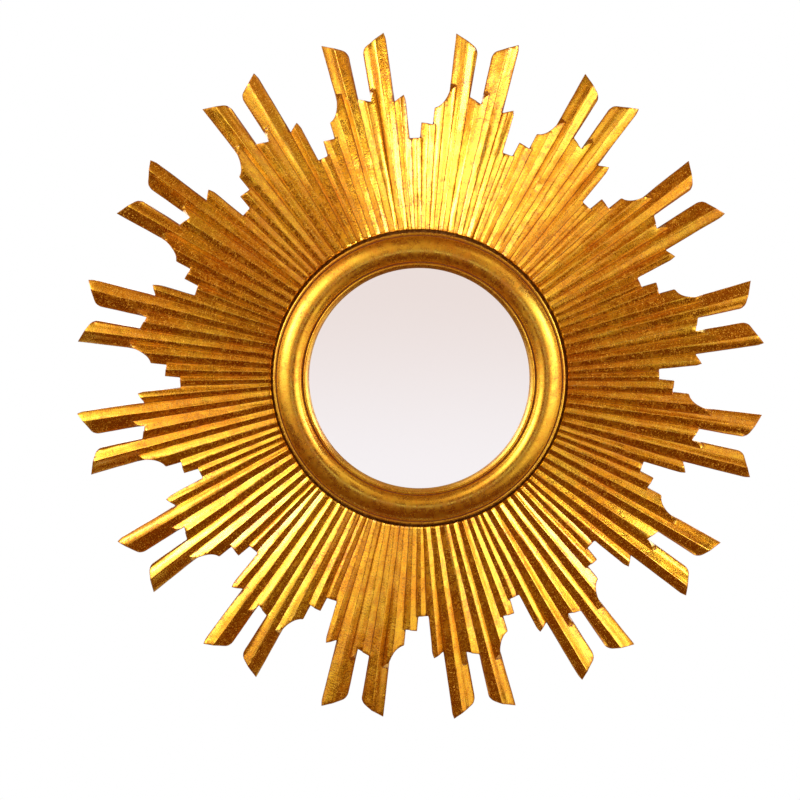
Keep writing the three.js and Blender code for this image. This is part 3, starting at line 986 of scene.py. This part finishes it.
def turned_place(tree, place):
    """Coordinates around the mirror's middle at 0.3 m, outwards from it, and off the wall."""
    parts = add(tree, "SeparateXYZ", {0: place}).outputs
    squares = [sums(tree, "MULTIPLY", part, part) for part in (parts[0], parts[2])]
    radius = sums(tree, "SQRT", sums(tree, "ADD", *squares))
    around = sums(tree, "MULTIPLY", sums(tree, "ARCTAN2", parts[0], parts[2]), 0.3)
    return add(tree, "CombineXYZ", {0: around, 1: radius, 2: parts[1]}).outputs[0]


def gilding(tree, place, colours, worn, toned, hatch, bumpy, satin):
    """Water gilding over clay: mottled leaf, rubbed specks, a dark glaze in the hollows and as painted shade
    on the ring's lip and outer wall, painted highlight lines on the crests.

    Worn and toned shift how much is rubbed and how much is deep leaf, hatch is the fineness of the
    strokes across, bumpy the strength of the relief, and satin adds roughness.
    """
    turned = turned_place(tree, place)
    patches = cloud(tree, place, 15, 3)
    mottle = cloud(tree, place, 95, 4)
    specks = cloud(tree, place, 430)
    grit = cloud(tree, place, 800)
    hatching = drawn_out(tree, turned, hatch, 2)
    strokes = drawn_out(tree, turned, (700, 40, 300), 3)
    names = ("hollow", "crest", "rim")
    hollow, crest, rim = (add(tree, "Attribute", attribute_name=mark).outputs["Fac"] for mark in names)

    # Leaf and deeper leaf, specks of clay and of pale ground, painted highlight lines along the crests, and
    # the glaze over all of it, which on the ring is also painted shade
    tone = weighed(tree, (patches, 0.45), (mottle, 0.28), (strokes, 0.35), (specks, 0.07))
    leaf = blend(tree, steep(tree, tone, 0.6 - toned, 0.78 - toned), colours.leaf, colours.deep_leaf)
    flecks = weighed(tree, (grit, 0.6), (strokes, 0.25), (hatching, 0.3))
    rubbed = weighed(tree, (specks, 0.4), (grit, 0.25), (hatching, 0.3), (mottle, 0.15), (patches, 0.35),
                     (rim, 0.2))
    bare = sums(tree, "MULTIPLY", steep(tree, rubbed, 0.755 - worn, 0.85 - worn), 0.9)
    # Painted highlight: broken pale lines along the crests, as if light caught the rounded ridges
    edge = steep(tree, weighed(tree, (crest, 0.75), (strokes, 0.5), (grit, 0.3)), 1.14, 1.26)
    pale = sums(tree, "MAXIMUM", steep(tree, flecks, 0.635 - worn, 0.7 - worn), edge)
    pale = sums(tree, "MULTIPLY", pale, 0.9)
    traced = weighed(tree, (hollow, 0.4), (rim, 0.42), (crest, 0.1), (strokes, 0.35), (grit, 0.34),
                     (mottle, 0.15))
    dirt_and_painted_shade = sums(tree, "MULTIPLY", steep(tree, traced, 0.66, 0.86), 0.9)
    # Full glaze in the hollows: patina in the board's grooves, and painted shade over the ring's lip and
    # outer wall
    dirt_and_painted_shade = sums(tree, "MAXIMUM", dirt_and_painted_shade, steep(tree, hollow, 0.72, 0.95))
    colour = blend(tree, bare, leaf, colours.bole)
    colour = blend(tree, pale, colour, colours.chalk_and_crest_highlight)
    colour = blend(tree, dirt_and_painted_shade, colour, colours.glaze)

    # Less metal and more roughness where the leaf is gone or covered
    dull = weighed(tree, (bare, 0.35), (pale, 1.0), (dirt_and_painted_shade, 1.0))
    coarse = steep(tree, weighed(tree, (specks, 0.3), (grit, 0.2), (mottle, 0.5)), 0.42, 0.64)
    rough = weighed(tree, (mottle, 0.1), (coarse, 0.22), (dull, 0.3))
    relief = weighed(tree, (mottle, 0.3), (specks, 0.16), (grit, 0.12), (hatching, 0.2), (strokes, 0.3))
    return {
        "Base Color": colour,
        "Metallic": sums(tree, "SUBTRACT", 1.0, dull, clamp=True),
        "Roughness": sums(tree, "ADD", colours.roughness + satin - 0.08, rough, clamp=True),
        "Coat Weight": 1.0,
        "Coat Roughness": 0.15 + 3 * satin,
        "Coat IOR": 1.55,
        "Specular IOR Level": 0.2,
        "Normal": bumps(tree, relief, bumpy, 0.0012),
    }


def back_wood(tree, place):
    """The board's unfinished back, stained brown, with its grain upright."""
    grain = drawn_out(tree, place, (130, 130, 5), 6)
    fine = drawn_out(tree, place, (900, 900, 30), 3)
    colour = blend(tree, steep(tree, grain, 0.35, 0.65), (0.13, 0.065, 0.028), (0.3, 0.17, 0.08))
    streaks = sums(tree, "MULTIPLY", steep(tree, fine, 0.5, 0.7), 0.8)
    relief = sums(tree, "ADD", grain, sums(tree, "MULTIPLY", fine, 0.5))
    return {
        "Base Color": blend(tree, streaks, colour, (0.06, 0.03, 0.012)),
        "Roughness": sums(tree, "ADD", 0.6, sums(tree, "MULTIPLY", grain, 0.2)),
        "Normal": bumps(tree, relief, 0.4, 0.0005),
    }


def dark_toning(tree, place):
    """Painted shade: dark brown for the shadow in the gap around the ring, mottled with dust."""
    dust = cloud(tree, place, 300, 3)
    return {
        "Base Color": blend(tree, steep(tree, dust, 0.45, 0.75), (0.16, 0.06, 0.012), (0.4, 0.2, 0.05)),
        "Roughness": 0.9,
        "Specular IOR Level": 0.1,
        "Normal": bumps(tree, dust, 0.3, 0.0005),
    }


def silvered_glass(tree, place):
    """Flat silvered glass, a little pink, with a faint haze of polish."""
    haze = cloud(tree, place, 9, 3)
    return {
        "Base Color": (0.93, 0.915, 0.92, 1),
        "Metallic": 1.0,
        "Roughness": sums(tree, "MULTIPLY", haze, 0.04),
    }


def zinc(tree, place):
    """Zinc-plated steel with fine rolling lines and a little grey bloom."""
    lines = drawn_out(tree, place, (60, 400, 2600), 3)
    bloom = cloud(tree, place, 260, 4)
    return {
        "Base Color": blend(tree, steep(tree, bloom, 0.35, 0.7), (0.66, 0.65, 0.6), (0.46, 0.46, 0.45)),
        "Metallic": 1.0,
        "Roughness": sums(tree, "ADD", 0.28, sums(tree, "MULTIPLY", bloom, 0.25)),
        "Normal": bumps(tree, lines, 0.25, 0.0002),
    }


# Operators

class MIRROR_OT_carve_sunburst(Operator):
    """Carve the board with its ridges, steps and long rays"""
    bl_idname = "mirror.carve_sunburst"
    bl_label = "Carve sunburst"

    def execute(self, context):
        scene = context.scene
        gilt = finish("gilding_on_carving", gilding, scene.gilt_colours, 0.0, 0.13, (70, 420, 300), 0.5, 0.0)
        wood = finish("board_back_wood", back_wood)
        # The gap around the ring gets a dark material of painted shade
        toning = finish("dark_toning", dark_toning)
        board = carve_board(scene.sunburst_sizes, "carved_sunburst", gilt, wood, toning)
        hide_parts("sunburst")
        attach(board, "root")
        return {"FINISHED"}


class MIRROR_OT_turn_ring(Operator):
    """Turn the ring around the glass"""
    bl_idname = "mirror.turn_ring"
    bl_label = "Turn ring"

    def execute(self, context):
        scene = context.scene
        colours = scene.gilt_colours
        gilt = finish("gilding_on_ring", gilding, colours, -0.035, 0.09, (90, 420, 420), 0.08, 0.05)
        ring = turn_ring(scene.ring_sizes, "turned_ring", gilt)
        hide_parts("round_frame")
        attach(ring, "root")
        return {"FINISHED"}


class MIRROR_OT_cut_glass(Operator):
    """Cut the round mirror glass"""
    bl_idname = "mirror.cut_glass"
    bl_label = "Cut glass"

    def execute(self, context):
        silver = finish("silvered_glass", silvered_glass)
        glass = cut_glass(context.scene.glass_sizes, "round_glass", silver)
        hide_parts("mirror_glass")
        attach(glass, "root")
        return {"FINISHED"}


class MIRROR_OT_fit_hanger(Operator):
    """Let the keyhole plate into the back, with its two screws"""
    bl_idname = "mirror.fit_hanger"
    bl_label = "Fit hanger"

    def execute(self, context):
        steel = finish("zinc_plated_steel", zinc)
        plate = stamp_plate("keyhole_plate", steel)
        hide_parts("hanger_plate")
        pieces = [plate]
        for side in ("left", "right"):
            screw = turn_screw(f"hanger_screw_{side}", f"plate_screw_{side}", steel)
            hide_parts(f"hanger_screw_{side}")
            pieces.append(screw)
        for piece in pieces:
            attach(piece, "root")
        return {"FINISHED"}


class MIRROR_OT_set_stage(Operator):
    """Set the floor, the light and the camera"""
    bl_idname = "mirror.set_stage"
    bl_label = "Set stage"

    def execute(self, context):
        settings = context.scene.stage_settings
        lay_floor(settings)
        light_room()
        for light in LIGHTS:
            hang_light(settings, *light)
        aim_camera(settings)
        return {"FINISHED"}


def pale_floor(tree, place):
    """Nearly even, pale and dull."""
    shade = cloud(tree, place, 3, 2, 0.5)
    return {"Base Color": blend(tree, shade, (0.78, 0.77, 0.75), (0.84, 0.83, 0.81)), "Roughness": 0.6}


def lay_floor(settings):
    half, front, back, drop = 1.1, 0.0, 1.2, -settings.floor_drop
    corners = [(-half, front, drop), (half, front, drop), (half, back, drop), (-half, back, drop)]
    make_object("floor", corners, [(0, 1, 2, 3)], finish("pale_floor", pale_floor))


def light_room():
    """A pale wall in front for the glass, warm dusk around it, brown-grey behind, white for the camera."""
    world = bpy.data.worlds.new("studio")
    bpy.context.scene.world = world
    world.use_nodes = True
    tree = world.node_tree
    parts = add(tree, "SeparateXYZ", {0: add(tree, "TexCoord").outputs["Generated"]}).outputs
    facing, height = sums(tree, "MULTIPLY", parts[1], -1.0), parts[2]
    wall = blend(tree, steep(tree, height, -0.1, 0.0), (0.99, 0.962, 0.974), (0.893, 0.798, 0.762))
    dusk = blend(tree, steep(tree, height, -0.9, -0.45), (0.14, 0.036, 0.003), (0.16, 0.046, 0.005))
    dusk = blend(tree, steep(tree, height, 0.3, 0.9), dusk, (0.24, 0.08, 0.014))
    room = blend(tree, steep(tree, facing, 0.988, 0.9955), dusk, wall)
    room = blend(tree, steep(tree, facing, -0.9, -0.3), (0.16, 0.13, 0.1), room)
    seen = add(tree, "LightPath").outputs["Is Camera Ray"]
    feed(tree, tree.nodes["Background"], {"Color": blend(tree, seen, room, (1.0, 1.0, 1.0))})


def turn_towards(thing, target, way, distance):
    """Sets a light or camera off from its target, and turns it to face the target."""
    thing.location = target + way * distance
    thing.rotation_euler = (-way).to_track_quat("-Z", "Y").to_euler()


def hang_light(settings, off, turn, power, width, height, away, colour):
    """One soft light aimed at the mirror's middle, as a row of the table of lights says."""
    lamp = bpy.data.lights.new("side_light", "AREA")
    lamp.shape, lamp.size, lamp.size_y = "RECTANGLE", width, height
    lamp.energy = getattr(settings, power)
    lamp.color = colour
    light = new_object(lamp.name, lamp)
    off, turn = math.radians(off), math.radians(turn)
    way = Vector((math.sin(off) * math.sin(turn), -math.cos(off), math.sin(off) * math.cos(turn)))
    turn_towards(light, Vector(), way, away)
    light.visible_camera = False


def aim_camera(settings):
    """A long lens nearly straight in front, aimed so that the mirror stands as in the photograph."""
    camera = new_object("camera", bpy.data.cameras.new("camera"))
    up, side = settings.camera_elevation, settings.camera_side
    way = Vector((math.sin(side) * math.cos(up), -math.cos(side) * math.cos(up), math.sin(up)))
    turn_towards(camera, CAMERA_AIM, way, settings.camera_distance)
    camera.data.sensor_width = SENSOR_WIDTH
    camera.data.lens = SENSOR_WIDTH * settings.camera_distance / PICTURE_WIDTH
    camera.data.clip_end = 50
    bpy.context.scene.camera = camera
    bpy.context.scene.view_settings.view_transform = "Standard"


class MIRROR_PT_sidebar(Panel):
    """The mirror's pieces, sizes and colours"""
    bl_idname = "MIRROR_PT_sidebar"
    bl_label = "Sunburst mirror"
    bl_space_type = "VIEW_3D"
    bl_region_type = "UI"
    bl_category = "Mirror"

    def draw(self, context):
        for operator in OPERATORS:
            self.layout.operator(operator.bl_idname)
        for attribute, group in GROUPS_OF_SETTINGS.items():
            box = self.layout.box()
            box.label(text=group.__doc__)
            for setting in group.__annotations__:
                box.prop(getattr(context.scene, attribute), setting)


OPERATORS = (MIRROR_OT_carve_sunburst, MIRROR_OT_turn_ring, MIRROR_OT_cut_glass, MIRROR_OT_fit_hanger,
             MIRROR_OT_set_stage)
GROUPS_OF_SETTINGS = {
    "sunburst_sizes": SunburstSizes,
    "ring_sizes": RingSizes,
    "glass_sizes": GlassSizes,
    "gilt_colours": GiltColours,
    "stage_settings": StageSettings,
}


def register():
    for group in GROUPS_OF_SETTINGS.values():
        bpy.utils.register_class(group)
    for attribute, group in GROUPS_OF_SETTINGS.items():
        setattr(bpy.types.Scene, attribute, PointerProperty(type=group))
    for operator in OPERATORS:
        bpy.utils.register_class(operator)
    bpy.utils.register_class(MIRROR_PT_sidebar)


def unregister():
    bpy.utils.unregister_class(MIRROR_PT_sidebar)
    for operator in reversed(OPERATORS):
        bpy.utils.unregister_class(operator)
    for attribute, group in GROUPS_OF_SETTINGS.items():
        delattr(bpy.types.Scene, attribute)
        bpy.utils.unregister_class(group)


def main():
    register()
    bpy.ops.mirror.carve_sunburst()
    bpy.ops.mirror.turn_ring()
    bpy.ops.mirror.cut_glass()
    bpy.ops.mirror.fit_hanger()
    bpy.ops.mirror.set_stage()


if __name__ == "__main__":
    main()
